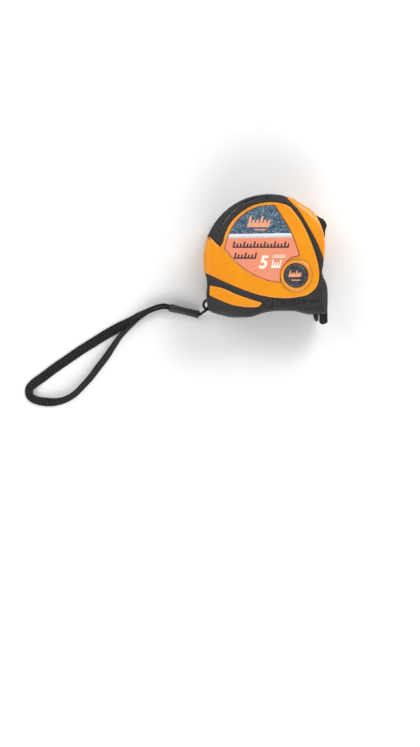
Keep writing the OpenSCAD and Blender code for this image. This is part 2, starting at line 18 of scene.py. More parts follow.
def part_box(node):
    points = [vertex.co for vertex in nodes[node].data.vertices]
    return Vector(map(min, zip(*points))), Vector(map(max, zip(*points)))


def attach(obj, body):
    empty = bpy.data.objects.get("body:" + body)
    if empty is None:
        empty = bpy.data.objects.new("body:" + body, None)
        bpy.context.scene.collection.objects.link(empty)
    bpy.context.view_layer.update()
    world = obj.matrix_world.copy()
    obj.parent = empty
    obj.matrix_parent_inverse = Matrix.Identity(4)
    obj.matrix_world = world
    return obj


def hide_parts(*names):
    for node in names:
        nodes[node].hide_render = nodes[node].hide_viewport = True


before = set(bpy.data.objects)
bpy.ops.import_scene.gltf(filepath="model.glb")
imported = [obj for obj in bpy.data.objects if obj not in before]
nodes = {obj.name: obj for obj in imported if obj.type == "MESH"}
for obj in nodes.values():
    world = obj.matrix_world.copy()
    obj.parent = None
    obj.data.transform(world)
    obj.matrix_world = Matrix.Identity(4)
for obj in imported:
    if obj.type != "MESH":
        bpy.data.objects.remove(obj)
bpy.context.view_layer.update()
scene = bpy.context.scene
MM = 0.001
weld_gap = 1e-6                         # metres within which corners of a CAD mesh are one


def box_mm(node):
    """Lowest and highest corners of a CAD node, in millimetres."""
    low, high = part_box(node)
    return low / MM, high / MM


case_low, case_high = box_mm("front_jacket")
front_z = case_high.z
mid_z = case_low.z                      # height of the joint between the case's halves


# ---------------------------------------------------------------- camera

def make_camera():
    """Looks straight down on the object as it lies on its back."""
    height = 2.5                        # metres above the floor
    aim = Vector((-0.0366, -0.0698))    # middle of the picture
    seen = 0.4631                       # metres of floor along the picture's long side
    camera = bpy.data.objects.new("camera", bpy.data.cameras.new("camera"))
    camera.data.sensor_width = 36
    camera.data.lens = camera.data.sensor_width * (height - mid_z * MM) / seen
    camera.data.clip_end = 10
    camera.location = (aim.x, aim.y, height)
    scene.collection.objects.link(camera)
    scene.camera = camera


make_camera()


# ---------------------------------------------------------------- materials

class Finish:
    """A material with one Principled shader, and short calls that add nodes and join them."""

    def __init__(self, name, colour, **sockets):
        self.material = bpy.data.materials.new(name)
        self.material.use_nodes = True
        self.tree = self.material.node_tree
        self.shader = self.tree.nodes["Principled BSDF"]
        self.shader.inputs["Base Color"].default_value = (*colour, 1)
        for socket, value in sockets.items():
            self.shader.inputs[socket.replace("_", " ")].default_value = value

    def node(self, kind, settings=None, **inputs):
        """A new node. An input's value is a number, a colour or another node's output socket."""
        made = self.tree.nodes.new("ShaderNode" + kind)
        for key, value in (settings or {}).items():
            setattr(made, key, value)
        for key, value in inputs.items():
            self.join(value, made.inputs[key.replace("_", " ")])
        return made

    def join(self, value, socket):
        """Links another node's output to a socket, or sets the socket to a plain value."""
        if isinstance(value, bpy.types.NodeSocket):
            self.tree.links.new(value, socket)
        else:
            socket.default_value = value

    def place(self):
        """Where a point of the surface is, in metres in the object's own frame."""
        return self.node("TexCoord").outputs["Object"]

    def noise(self, scale, detail=3, vector=None, rough=0.5):
        return self.node("TexNoise", Vector=vector or self.place(), Scale=scale, Detail=detail,
                         Roughness=rough).outputs["Fac"]

    def math(self, operation, first, second=0.0, clamp=False):
        made = self.node("Math", {"operation": operation, "use_clamp": clamp})
        self.join(first, made.inputs[0])
        self.join(second, made.inputs[1])
        return made.outputs[0]

    def spread(self, value, low, high, out_low=0.0, out_high=1.0):
        """Maps low..high to out_low..out_high, and stays inside them."""
        return self.node("MapRange", Value=value, From_Min=low, From_Max=high, To_Min=out_low,
                         To_Max=out_high).outputs["Result"]

    def mix(self, share, first, second):
        made = self.node("Mix", {"data_type": "RGBA"})
        self.join(share, made.inputs[0])
        self.join(self.colour(first), made.inputs[6])
        self.join(self.colour(second), made.inputs[7])
        return made.outputs[2]

    @staticmethod
    def colour(value):
        return (*value, 1) if isinstance(value, tuple) and len(value) == 3 else value

    def crevices(self, reach):
        """Occlusion for painted shade: 1 on open surfaces, and towards 0 in gaps and corners that are
        narrower than reach.
        """
        made = self.node("AmbientOcclusion", {"samples": 6, "only_local": False}, Distance=reach)
        return made.outputs["AO"]

    def edges(self, low, high):
        """1 on sharp outer edges, from the mesh's own curvature."""
        return self.spread(self.node("NewGeometry").outputs["Pointiness"], low, high)

    def carried(self, name, strength=1.0):
        """A share that a mesh carries on its points, such as its painted shade or its wear, up to strength.
        """
        share = self.node("Attribute", {"attribute_name": name}).outputs["Fac"]
        return self.math("MULTIPLY", share, strength)

    def base(self, value):
        self.join(value, self.shader.inputs["Base Color"])

    def rough(self, value):
        self.join(value, self.shader.inputs["Roughness"])

    def bump(self, height, depth, strength=1.0):
        """Bump from a height of 0..1 that stands for depth metres."""
        made = self.node("Bump", Height=height, Distance=depth, Strength=strength)
        self.join(made.outputs["Normal"], self.shader.inputs["Normal"])


def yellow_plastic():
    """Glossy moulded plastic with a faint orange peel, paler on worn edges, and with painted shade in the
    gaps.
    """
    f = Finish("yellow_plastic", (0.84, 0.31, 0.002), Coat_Weight=0.25, Coat_Roughness=0.1)
    cloud = f.mix(f.spread(f.noise(60), 0.3, 0.7), (0.87, 0.315, 0.002), (0.80, 0.265, 0.002))
    worn = f.mix(f.carried("wear", 0.5), cloud, (0.95, 0.42, 0.03))
    # Painted shade: darker where the occlusion finds gaps and corners.
    shaded = f.mix(f.spread(f.crevices(0.003), 0.4, 0.9), (0.25, 0.06, 0.001), worn)
    # Painted shade in hollow corners and along the joint with the armour.
    f.base(f.mix(f.carried("dirt", 0.75), shaded, (0.12, 0.03, 0.001)))
    f.rough(f.spread(f.noise(350, 5), 0.3, 0.7, 0.24, 0.36))
    f.bump(f.noise(1500, 2), 0.00003)
    return f.material


def black_rubber():
    """Dull moulded rubber with a fine grain, paler where it is rubbed, and with painted shade in its
    grooves.
    """
    f = Finish("black_rubber", (0.02, 0.02, 0.022), Specular_IOR_Level=0.4)
    cloud = f.mix(f.spread(f.noise(90, 5), 0.3, 0.7), (0.014, 0.0135, 0.0145), (0.026, 0.025, 0.027))
    rubbed = f.mix(f.carried("wear", 0.8), cloud, (0.055, 0.053, 0.057))
    # Painted shade: darker where the occlusion finds gaps and corners.
    shaded = f.mix(f.spread(f.crevices(0.002), 0.1, 0.7), (0.004, 0.004, 0.004), rubbed)
    # Painted shade in hollow corners and along the joint with the shell.
    f.base(f.mix(f.carried("dirt"), shaded, (0.0005, 0.0005, 0.0005)))
    f.rough(f.spread(f.noise(500, 4), 0.3, 0.7, 0.46, 0.66))
    grain = f.node("TexVoronoi", {"feature": "SMOOTH_F1"}, Vector=f.place(), Scale=2600.0)
    f.bump(grain.outputs["Distance"], 0.00005)
    return f.material


def black_gloss():
    """Polished rubber of the armour's raised beads, with a paler colour than the armour as a painted
    highlight.
    """
    f = Finish("black_gloss", (0.03, 0.03, 0.032), Specular_IOR_Level=0.6)
    # Painted highlight: the beads' colour is paler than the armour's rubber.
    f.base(f.mix(f.spread(f.noise(90, 5), 0.3, 0.7), (0.05, 0.05, 0.052), (0.09, 0.088, 0.09)))
    f.rough(f.spread(f.noise(500, 4), 0.3, 0.7, 0.25, 0.4))
    f.bump(f.noise(1800, 2), 0.00002)
    return f.material


def dark_plastic():
    """Satin dark grey plastic with a spark-eroded texture."""
    f = Finish("dark_plastic", (0.03, 0.03, 0.033), Specular_IOR_Level=0.4)
    cloud = f.mix(f.spread(f.noise(120), 0.3, 0.7), (0.018, 0.0175, 0.021), (0.036, 0.035, 0.040))
    rubbed = f.mix(f.edges(0.56, 0.68), cloud, (0.09, 0.088, 0.09))
    # Painted shade: darker where the occlusion finds gaps and corners.
    f.base(f.mix(f.spread(f.crevices(0.0018), 0.2, 0.85), (0.004, 0.004, 0.004), rubbed))
    f.rough(f.spread(f.noise(700, 4), 0.3, 0.7, 0.34, 0.5))
    f.bump(f.noise(3000, 2), 0.00003)
    return f.material


def white_plastic():
    """Natural white acetal of the reel and its post."""
    f = Finish("white_plastic", (0.75, 0.74, 0.70), Subsurface_Weight=0.1, Subsurface_Scale=0.002)
    f.base(f.mix(f.spread(f.noise(80, 4), 0.3, 0.7), (0.78, 0.77, 0.73), (0.70, 0.68, 0.63)))
    f.rough(f.spread(f.noise(400), 0.3, 0.7, 0.35, 0.5))
    f.bump(f.noise(1800, 2), 0.00002)
    return f.material


def steel(name, colour, low, high, brushed_along):
    """Metal brushed along one axis, with fine scratches and small stains."""
    f = Finish(name, colour, Metallic=1.0)
    stretch = [1.0 if axis == brushed_along else 30.0 for axis in "xyz"]
    brushed = f.node("Mapping", Vector=f.place(), Scale=stretch).outputs["Vector"]
    lines = f.noise(120, 4, brushed)
    stain = f.spread(f.noise(150, 6), 0.45, 0.75)
    dull = tuple(0.6 * part for part in colour)
    f.base(f.mix(stain, f.mix(f.edges(0.54, 0.64), colour, (0.9, 0.9, 0.9)), dull))
    f.rough(f.spread(lines, 0.3, 0.7, low, high))
    f.bump(lines, 0.00002)
    return f.material


def hook_paint():
    """Black enamel on steel, chipped to bare metal along its edges."""
    f = Finish("hook_paint", (0.012, 0.012, 0.013), Specular_IOR_Level=0.35)
    chips = f.math("MULTIPLY", f.edges(0.62, 0.75), f.spread(f.noise(900, 4), 0.62, 0.7))
    coat = f.mix(f.spread(f.noise(200, 4), 0.3, 0.7), (0.008, 0.008, 0.009), (0.018, 0.018, 0.020))
    f.base(f.mix(chips, coat, (0.55, 0.55, 0.56)))
    f.rough(f.spread(f.noise(500, 4), 0.3, 0.7, 0.3, 0.5))
    f.join(f.math("MULTIPLY", chips, 0.9), f.shader.inputs["Metallic"])
    f.bump(f.noise(1600, 3), 0.00003)
    return f.material


def blade_paint():
    """Yellow lacquer over the steel blade, with a satin film and faint drag lines along it."""
    f = Finish("blade_paint", (0.88, 0.56, 0.03), Coat_Weight=0.5, Coat_Roughness=0.2)
    along = f.node("Mapping", Vector=f.place(), Scale=(1.0, 25.0, 25.0)).outputs["Vector"]
    lines = f.noise(150, 4, along)
    f.base(f.mix(f.spread(lines, 0.35, 0.65), (0.90, 0.58, 0.03), (0.80, 0.48, 0.02)))
    f.rough(f.spread(f.noise(300, 4), 0.3, 0.7, 0.3, 0.45))
    f.bump(lines, 0.00001)
    return f.material


def strap_fabric():
    """Black nylon yarn: fine threads, and a painted highlight on the crowns of the weave."""
    f = Finish("strap_fabric", (0.006, 0.006, 0.006), Sheen_Weight=0.02, Specular_IOR_Level=0.25)
    threads = f.node("TexWave", {"wave_type": "BANDS", "bands_direction": "DIAGONAL"},
                     Vector=f.place(), Scale=1400.0, Distortion=3.0, Detail=2.0)
    fibres = f.noise(2500, 4)
    crown_highlight = f.carried("crown")
    yarn = f.mix(threads.outputs["Fac"], (0.002, 0.002, 0.002), (0.010, 0.010, 0.010))
    # Painted highlight: paler on the crowns of the weave and on the rounded edges.
    f.base(f.mix(f.spread(crown_highlight, 0.55, 0.95, 0.0, 0.8), yarn, (0.13, 0.13, 0.135)))
    f.rough(f.spread(fibres, 0.3, 0.7, 0.6, 0.85))
    thread_height = f.math("MULTIPLY", threads.outputs["Fac"], 0.6)
    f.bump(f.math("ADD", thread_height, f.math("MULTIPLY", fibres, 0.4)), 0.00008)
    return f.material


def glitter(f, cells, strength):
    """Tiny mirror flakes: a random painted glint and a random tilt for each cell."""
    flakes = f.node("TexVoronoi", Vector=f.place(), Scale=cells)
    random_part = f.node("SeparateColor", Color=flakes.outputs["Color"])
    made = f.node("Bump", Height=random_part.outputs["Red"], Distance=0.00006, Strength=strength)
    return f.spread(random_part.outputs["Green"], 0.55, 1.0), made.outputs["Normal"]


stripe_y = 13.9                         # lower edge of the silver stripe, on the reel's axis
stripe_w = 2.5
stripe_rise = 0.016                     # rise of the stripe towards the right, per millimetre
stripe_blur = 0.05                      # half the width of the soft border between two fields
flake_cells = 2100.0                    # mirror flakes in a metre
label_tint = (0.82, 0.265, 0.15)


def label_print():
    """Printed foil: a glittering blue top, a silver stripe and a salmon field under it, with painted glints
    on the flakes.
    """
    f = Finish("label_print", label_tint, Coat_Weight=0.3, Coat_Roughness=0.15)
    at = f.node("SeparateXYZ", Vector=f.place())
    level = f.math("SUBTRACT", at.outputs["Y"], f.math("MULTIPLY", at.outputs["X"], stripe_rise))
    stripe_top = stripe_y + stripe_w
    above_field = f.spread(level, (stripe_y - stripe_blur) * MM, (stripe_y + stripe_blur) * MM)
    above_stripe = f.spread(level, (stripe_top - stripe_blur) * MM, (stripe_top + stripe_blur) * MM)
    shine = f.spread(level, stripe_y * MM, stripe_top * MM, 0.25, 1.0)
    painted_glint, tilt = glitter(f, flake_cells, 0.35)
    # Painted glints: bright flakes in the blue, and faint ones in the salmon field.
    blue = f.mix(f.math("MULTIPLY", painted_glint, 0.9), (0.028, 0.062, 0.110), (0.30, 0.42, 0.50))
    field = f.mix(f.math("MULTIPLY", painted_glint, 0.22), label_tint, (0.95, 0.52, 0.36))
    silver = f.mix(shine, (0.40, 0.40, 0.44), (0.86, 0.90, 0.95))
    f.base(f.mix(above_stripe, f.mix(above_field, field, silver), blue))
    f.rough(f.spread(f.noise(400), 0.3, 0.7, 0.3, 0.42))
    f.join(tilt, f.shader.inputs["Normal"])
    return f.material


def badge_print():
    """Printed foil in navy with sparse flakes and their painted glints."""
    f = Finish("badge_print", (0.02, 0.026, 0.04), Coat_Weight=0.3, Coat_Roughness=0.15)
    painted_glint, tilt = glitter(f, flake_cells, 0.25)
    f.base(f.mix(f.math("MULTIPLY", painted_glint, 0.7), (0.024, 0.024, 0.034), (0.13, 0.15, 0.19)))
    f.rough(f.spread(f.noise(400), 0.3, 0.7, 0.28, 0.4))
    f.join(tilt, f.shader.inputs["Normal"])
    return f.material


def ink(name, colour):
    """Screen printed ink with an uneven film."""
    f = Finish(name, colour)
    thin = tuple(min(1.0, part * 1.3 + 0.02) for part in colour)
    f.base(f.mix(f.spread(f.noise(900, 5), 0.4, 0.8), colour, thin))
    f.rough(f.spread(f.noise(600), 0.3, 0.7, 0.35, 0.5))
    f.bump(f.noise(2500, 2), 0.00001)
    return f.material


finishes = {
    "yellow_plastic": yellow_plastic(),
    "black_rubber": black_rubber(),
    "black_gloss": black_gloss(),
    "label_print": label_print(),
    "badge_print": badge_print(),
    "clip_steel": steel("clip_steel", (0.55, 0.56, 0.58), 0.2, 0.4, "y"),
    "screw_steel": steel("screw_steel", (0.62, 0.62, 0.60), 0.22, 0.38, "x"),
    "white_plastic": white_plastic(),
    "dark_plastic": dark_plastic(),
    "strap_fabric": strap_fabric(),
    "blade_paint": blade_paint(),
    "spring_steel": steel("spring_steel", (0.35, 0.37, 0.42), 0.25, 0.4, "z"),
    "hook_paint": hook_paint(),
}
dark_ink = ink("dark_ink", (0.030, 0.018, 0.026))
pale_ink = ink("pale_ink", (0.95, 0.80, 0.66))
salmon_ink = ink("salmon_ink", (0.86, 0.32, 0.17))
blade_ink = ink("blade_ink", (0.012, 0.012, 0.012))


# ---------------------------------------------------------------- making pieces

def show(name, mesh, body, slot, stands_for=(), finish=None):
    """Links a mesh as a piece that rides on a CAD body and has a slot's finish."""
    piece = bpy.data.objects.new(name, mesh)
    scene.collection.objects.link(piece)
    mesh.materials.clear()
    mesh.materials.append(finish or finishes[slot])
    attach(piece, body)
    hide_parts(*stands_for)
    return piece


def mesh_of(name, points, faces, smooth=True):
    """A mesh from points in millimetres."""
    mesh = bpy.data.meshes.new(name)
    mesh.from_pydata([Vector(p) * MM for p in points], [], faces)
    mesh.update()
    for polygon in mesh.polygons:
        polygon.use_smooth = smooth
    return mesh


def carry(mesh, name, values):
    """Stores a value for each point of a mesh, for a material to read."""
    mesh.attributes.new(name, "FLOAT", "POINT").data.foreach_set("value", values)


def ring_faces(rings, around):
    """Faces that join rings of around points each into a closed tube, with one face at each end."""
    faces = []
    for ring in range(rings - 1):
        for k in range(around):
            here, on = ring * around + k, ring * around + (k + 1) % around
            faces.append((here, on, on + around, here + around))
    faces.append(tuple(range(around - 1, -1, -1)))
    faces.append(tuple((rings - 1) * around + k for k in range(around)))
    return faces


def spline(points, steps):
    """Catmull-Rom curve through points, with steps points for each span."""
    points = [np.array(p, float) for p in points]
    padded = [2 * points[0] - points[1], *points, 2 * points[-1] - points[-2]]
    made = []
    for a, b, c, d in zip(padded, padded[1:], padded[2:], padded[3:]):
        for k in range(steps):
            t = k / steps
            bend = (2 * a - 5 * b + 4 * c - d) + t * (3 * b - a - 3 * c + d)
            made.append(b + t / 2 * ((c - a) + t * bend))
    return np.array([*made, points[-1]])


def directions(points):
    """Unit direction of a path at each of its points."""
    along = np.gradient(points, axis=0)
    return along / np.linalg.norm(along, axis=1, keepdims=True)


# ---------------------------------------------------------------- wrist strap

# Routes as in part.scad, in metres. The cord's two ends go on into the sleeve that grips them.
cord_route = [
    (-0.0482, -0.0319, 0.0024), (-0.0457, -0.0325, 0.0024),
    (-0.0433, -0.0331, 0.0024), (-0.0416, -0.0321, 0.0044), (-0.0399, -0.0310, 0.0068),
    (-0.0384, -0.0298, 0.0086), (-0.0378, -0.0286, 0.0092), (-0.0378, -0.0282, 0.0102),
    (-0.0378, -0.0282, 0.0128), (-0.0378, -0.0286, 0.0138), (-0.0384, -0.0298, 0.0144),
    (-0.0399, -0.03095, 0.0139), (-0.0409, -0.0316, 0.0116), (-0.0421, -0.0323, 0.0080),
    (-0.0433, -0.0331, 0.0048), (-0.0457, -0.0325, 0.0048), (-0.0482, -0.0319, 0.0048),
]
# Middle of the webbing, in metres, and how far it leans from flat, in degrees.
web_route = [
    (-0.0615, -0.0275, 90), (-0.0655, -0.0265, 90), (-0.0705, -0.0275, 88), (-0.0760, -0.0300, 80),
    (-0.0810, -0.0330, 62), (-0.0865, -0.0370, 36), (-0.0930, -0.0405, 10), (-0.1010, -0.0450, 0),
    (-0.1090, -0.0500, 0), (-0.1170, -0.0550, 0), (-0.1250, -0.0605, 0), (-0.1330, -0.0660, 0),
    (-0.1410, -0.0720, 0), (-0.1465, -0.0760, 12), (-0.1495, -0.0795, 30), (-0.1490, -0.0840, 34),
    (-0.1450, -0.0865, 30), (-0.1390, -0.0875, 24), (-0.1330, -0.0875, 38), (-0.1270, -0.0860, 50),
    (-0.1210, -0.0825, 54), (-0.1160, -0.0775, 54), (-0.1110, -0.0720, 52), (-0.1065, -0.0660, 50),
    (-0.1015, -0.0595, 50), (-0.0975, -0.0535, 55), (-0.0930, -0.0470, 62), (-0.0880, -0.0420, 72),
    (-0.0840, -0.0385, 80), (-0.0795, -0.0350, 88), (-0.0750, -0.0320, 90), (-0.0700, -0.0300, 90),
    (-0.0650, -0.0290, 90), (-0.0610, -0.0300, 90),
]
cord_d = 0.0015                         # metres
web_w = 6.0                             # the rest in millimetres
web_t = 1.2
weave_h = 0.3                           # rise of a crown of the weave, and how deep the weave starts
weave_drop = 0.32
edge_h = 0.08                           # depth and spacing of the ribs on the webbing's rounded edges
edge_pitch = 0.75
# share of painted highlight on the webbing's rounded edges
edge_highlight = 0.3


def sleeve_size(t):
    """Size of the sleeve's section at share t of its length, next to its full size."""
    waist_depth = 0.10
    collar_h = 0.05
    collar_at = 0.86
    collar_w = 0.05
    groove_depth = 0.09
    grooves_from = 0.10
    groove_pitch = 0.07
    groove_wide = 0.014
    round_part = 0.05                   # share of the length over which each end is rounded
    end_size = 0.55                     # size of the flat ends
    waist = 1 - waist_depth * math.sin(math.pi * t) ** 2
    collar = collar_h * math.exp(-((t - collar_at) / collar_w) ** 2)
    grooves = sum(groove_depth * math.exp(-((t - grooves_from - groove_pitch * k) / groove_wide) ** 2)
                  for k in range(3))
    end_round = math.sqrt(max(0.0, 1 - max(0.0, 1 - min(t, 1 - t) / round_part) ** 2))
    return (waist + collar - grooves) * (end_size + (1 - end_size) * end_round)


def make_sleeve():
    """Moulded sleeve, waisted in the middle, with a collar and three grip grooves."""
    low, high = box_mm("strap_sleeve")
    start = np.array([-43.3, -33.1])
    end = np.array([-62.2, -28.5])
    middle_z = (low.z + high.z) / 2
    half_h = (high.z - low.z) / 2
    half_w = 2.5
    squareness = 0.7                    # 1 is an ellipse, and less has flatter sides
    run = end - start
    side = np.array([-run[1], run[0]]) / np.linalg.norm(run)
    around, along = 40, 90
    points = []
    for i in range(along + 1):
        t = i / along
        size = sleeve_size(t)
        centre = start + run * t
        for k in range(around):
            a = 2 * math.pi * k / around
            c, s = math.cos(a), math.sin(a)
            across = half_w * size * math.copysign(abs(c) ** squareness, c)
            up = half_h * size * math.copysign(abs(s) ** squareness, s)
            points.append((*(centre + side * across), middle_z + up))
    mesh = mesh_of("sleeve", points, ring_faces(along + 1, around))
    return show("strap_sleeve_body", mesh, "case", "dark_plastic", ["strap_sleeve"])


def make_cord(sleeve):
    """Thin braided cord, from the sleeve through the eye and back into the sleeve."""
    curve = bpy.data.curves.new("strap_cord", "CURVE")
    curve.dimensions = "3D"
    curve.bevel_depth = cord_d / 2
    curve.bevel_resolution = 4
    curve.resolution_u = 4
    curve.use_fill_caps = True
    line = curve.splines.new("POLY")
    points = spline(cord_route, 6)
    line.points.add(len(points) - 1)
    for target, p in zip(line.points, points):
        target.co = (*p, 1)
    line.use_smooth = True
    cord = show("strap_cord_line", curve, "case", "strap_fabric", ["strap_cord"])


def crown(u, v):
    """How high a thread stands in the webbing's weave, 0..1, u along and v across it in millimetres."""
    rib_pitch, rib_lean, column_pitch = 2.0, 0.5, 1.2
    rib = 0.5 + 0.5 * math.cos(2 * math.pi * (u - rib_lean * abs(v)) / rib_pitch)
    return rib * (0.6 + 0.4 * math.cos(2 * math.pi * v / column_pitch))


def webbing_section(u):
    """Outline of the webbing u millimetres along it, as (across, up, crown) for each point; the crown sets
    its painted highlight.
    """
    across = 22
    edge_steps = 4
    core = web_w / 2 - web_t / 2
    section = []
    for side in (1, -1):
        for k in range(across + 1):
            v = side * core * (1 - 2 * k / across)
            section.append((v, side * (web_t / 2 - weave_drop + weave_h * crown(u, v)), crown(u, v)))
        for k in range(1, edge_steps):
            a = math.pi * k / edge_steps
            reach = web_t / 2 - edge_h + edge_h * math.cos(2 * math.pi * u / edge_pitch)
            section.append((-side * (core + reach * math.sin(a)), side * reach * math.cos(a), edge_highlight))
    return section


def make_webbing():
    """Woven webbing: a flat strap that twists on to its edge, with ribbed faces and rounded edges."""
    fine = spline([(x / MM, y / MM, math.radians(lean)) for x, y, lean in web_route], 24)
    flat = np.column_stack([fine[:, :2], np.zeros(len(fine))])
    along = directions(flat)
    lean = fine[:, 2]
    up = np.array([0.0, 0.0, 1.0])
    left = np.cross(up, along)
    wide = np.cos(lean)[:, None] * left + np.sin(lean)[:, None] * up
    thick = np.cos(lean)[:, None] * up - np.sin(lean)[:, None] * left
    middle = flat + (web_w / 2 * np.sin(lean) + web_t / 2 * np.cos(lean))[:, None] * up
    travel = np.concatenate([[0], np.cumsum(np.linalg.norm(np.diff(flat, axis=0), axis=1))])
    points, crown_highlight = [], []
    for i, u in enumerate(travel):
        for v, h, crest in webbing_section(u):
            points.append(middle[i] + v * wide[i] + h * thick[i])
            crown_highlight.append(crest)
    mesh = mesh_of("webbing", points, ring_faces(len(travel), len(points) // len(travel)))
    carry(mesh, "crown", crown_highlight)
    webbing = show("strap_webbing_band", mesh, "case", "strap_fabric", ["strap_webbing"])


make_cord(make_sleeve())
make_webbing()


# ---------------------------------------------------------------- case

def sharp_points(node, spacing=0.2, least_angle=40, inner_only=False):
    """Points along a CAD node's sharp edges, in millimetres, or only along those in hollow corners."""
    bm = bmesh.new()
    bm.from_mesh(nodes[node].data)
    bmesh.ops.remove_doubles(bm, verts=bm.verts, dist=weld_gap)
    made = []
    for edge in bm.edges:
        if inner_only and edge.is_convex:
            continue
        if len(edge.link_faces) == 2 and edge.calc_face_angle() > math.radians(least_angle):
            a, b = (v.co / MM for v in edge.verts)
            count = max(1, round((b - a).length / spacing))
            made += [a.lerp(b, k / count) for k in range(count + 1)]
    bm.free()
    return made


def tree_of(points):
    """A search tree that finds the nearest of the points."""
    tree = KDTree(len(points))
    for i, p in enumerate(points):
        tree.insert(p, i)
    tree.balance()
    return tree


def border_points(node, z):
    """Points along a CAD node's sharp edges at height z, as seen from the front."""
    height_error = 0.02
    return [Vector((p.x, p.y, 0)) for p in sharp_points(node) if abs(p.z - z) < height_error]


def remeshed(node, size, rounds):
    """A copy of a CAD node's mesh with small even faces of one size, ready for shaping."""
    source = bpy.data.objects.new(node + "_source", nodes[node].data.copy())
    scene.collection.objects.link(source)
    even = source.modifiers.new("even", "REMESH")
    even.mode = "VOXEL"
    even.voxel_size = size * MM
    soften = source.modifiers.new("soften", "SMOOTH")
    soften.iterations = rounds
    done = source.evaluated_get(bpy.context.evaluated_depsgraph_get())
    mesh = bpy.data.meshes.new_from_object(done)
    bpy.data.objects.remove(source)
    return mesh


def bell(distance, width):
    """1 at no distance, and falling smoothly to nothing over about twice the width."""
    return np.exp(-(distance / width) ** 2)


label_top = box_mm("front_label")[1].z
badge_low, badge_high = box_mm("front_badge")
badge_centre = (badge_low + badge_high) / 2
label_tree = tree_of(border_points("front_label", label_top))
voxel = 0.42                            # size of the faces of a remeshed half
edge_round = 0.30                       # how far sharp edges are drawn in, and over what width
edge_width = 0.65
wear_w = 0.45                           # width of the worn strip along a sharp edge
lip_h = 0.35                            # height of the lip round the label, where it is, and its width
lip_at = 0.75
lip_w = 0.45
lip_depth = 0.3                         # the lip rises only from points this near the top
groove_h = 0.9                          # deepening of the armour's hollow corners, and its width
groove_w = 0.45
rubber_drop = 0.4                       # how far the rubber's faces lie below the yellow ones
corner_shade_w = 0.6                     # width of the painted shade in hollow corners
joint_shade = 0.7                        # share, width and depth of the painted shade at the neighbour's joint
joint_shade_w = 0.45
joint_shade_h = 1.5
face_tilt = 0.3                         # a face counts as a top face from this upward share of its
face_blend = 0.4                        # normal, and fully so after this much more
top_depth = 4                           # the top zone starts this far under the top, and is full
top_blend = 3                           # after this much more


def read_points(mesh, what):
    """The mesh's points ("co") or their normals ("normal"), as rows of three numbers."""
    values = np.empty(len(mesh.vertices) * 3)
    mesh.vertices.foreach_get(what, values)
    return values.reshape(-1, 3)


def add_dirt(mesh, co, node, neighbour, z):
    """Marks hollow corners, and the joint with the neighbour at height z, where the materials paint shade.

    Returns each point's distance from a hollow corner.
    """
    corner = tree_of(sharp_points(node, inner_only=True))
    joint = tree_of(border_points(neighbour, z))
    from_corner = np.array([corner.find(p)[2] for p in co])
    from_joint = np.array([joint.find((p[0], p[1], 0))[2] for p in co])
    at_joint = joint_shade * bell(from_joint, joint_shade_w) * (np.abs(co[:, 2] - z) < joint_shade_h)
    # Painted shade: strongest in hollow corners and along the joint with the neighbour.
    carry(mesh, "dirt", np.maximum(bell(from_corner, corner_shade_w), at_joint))
    return from_corner


def shape_half(name, node, side, slot, neighbour):
    """Half of the shell or armour: a soft copy of its CAD node with drawn-in edges.

    The front shell also gets the lip round the label, and the armour gets its deepened grooves.
    The side is 1 for the front half and -1 for the rear half.
    """
    mesh = remeshed(node, voxel, 3)
    co = read_points(mesh, "co") / MM
    normal = read_points(mesh, "normal")
    from_corner = add_dirt(mesh, co, node, neighbour, mid_z + side * (front_z - mid_z))
    sharp = tree_of(sharp_points(node))
    from_edge = np.array([sharp.find(p)[2] for p in co])
    co -= edge_round * bell(from_edge, edge_width)[:, None] * normal
    carry(mesh, "wear", bell(from_edge, wear_w))
    height = side * (co[:, 2] - mid_z)
    top = front_z - mid_z
    facing = np.clip((side * normal[:, 2] - face_tilt) / face_blend, 0, 1)
    near_top = np.clip((height - top + top_depth) / top_blend, 0, 1) * facing
    if slot == "black_rubber":
        co[:, 2] -= side * (rubber_drop + groove_h * bell(from_corner, groove_w)) * near_top
    elif side > 0:
        from_label = np.array([label_tree.find((x, y, 0))[2] for x, y, _ in co])
        co[:, 2] += near_top * (height > top - lip_depth) * lip_h * bell(from_label - lip_at, lip_w)
    mesh.vertices.foreach_set("co", (co * MM).ravel())
    mesh.update()
    for polygon in mesh.polygons:
        polygon.use_smooth = True
    return show(name, mesh, "case", slot, [node])


shape_half("front_shell_body", "front_shell", 1, "yellow_plastic", "front_jacket")
shape_half("rear_shell_body", "rear_shell", -1, "yellow_plastic", "rear_jacket")
front_armour = shape_half("front_armour", "front_jacket", 1, "black_rubber", "front_shell")
shape_half("rear_armour", "rear_jacket", -1, "black_rubber", "rear_shell")


# ---------------------------------------------------------------- badge and label print

def lathe(name, profile, centre, around=64):
    """A turned shape about a line along Z, from (radius, height) points in millimetres."""
    points = []
    for radius, height in profile:
        for k in range(around):
            a = 2 * math.pi * k / around
            points.append((centre[0] + radius * math.cos(a), centre[1] + radius * math.sin(a), height))
    return mesh_of(name, points, ring_faces(len(profile), around))


def make_badge():
    """Low domed disc with a rolled edge and a fine turned groove."""
    radius = (badge_high.x - badge_low.x) / 2
    top = badge_high.z
    roll = 0.25                         # radius of the rolled edge
    cut = 0.08                          # depth of the turned groove
    dome_r = radius - 1.1
    dome_h = 0.12
    flat_r = 0.05                       # radius of the flat at the middle
    edge = [(radius - roll + roll * math.cos(a), top - roll + roll * math.sin(a))
            for a in np.linspace(0, math.pi / 2, 6)]
    groove = [(radius - 0.7, top), (radius - 0.8, top - cut), (radius - 1.0, top - cut), (dome_r, top)]
    dome = [(r, top + dome_h * (1 - (r / dome_r) ** 2)) for r in np.linspace(radius - 1.5, flat_r, 10)]
    profile = [(flat_r, badge_low.z), (radius, badge_low.z), *edge, *groove, *dome]
    show("badge_disc", lathe("badge", profile, badge_centre), "case", "badge_print", ["front_badge"])


ink_h = 0.03                            # height of a printed mark


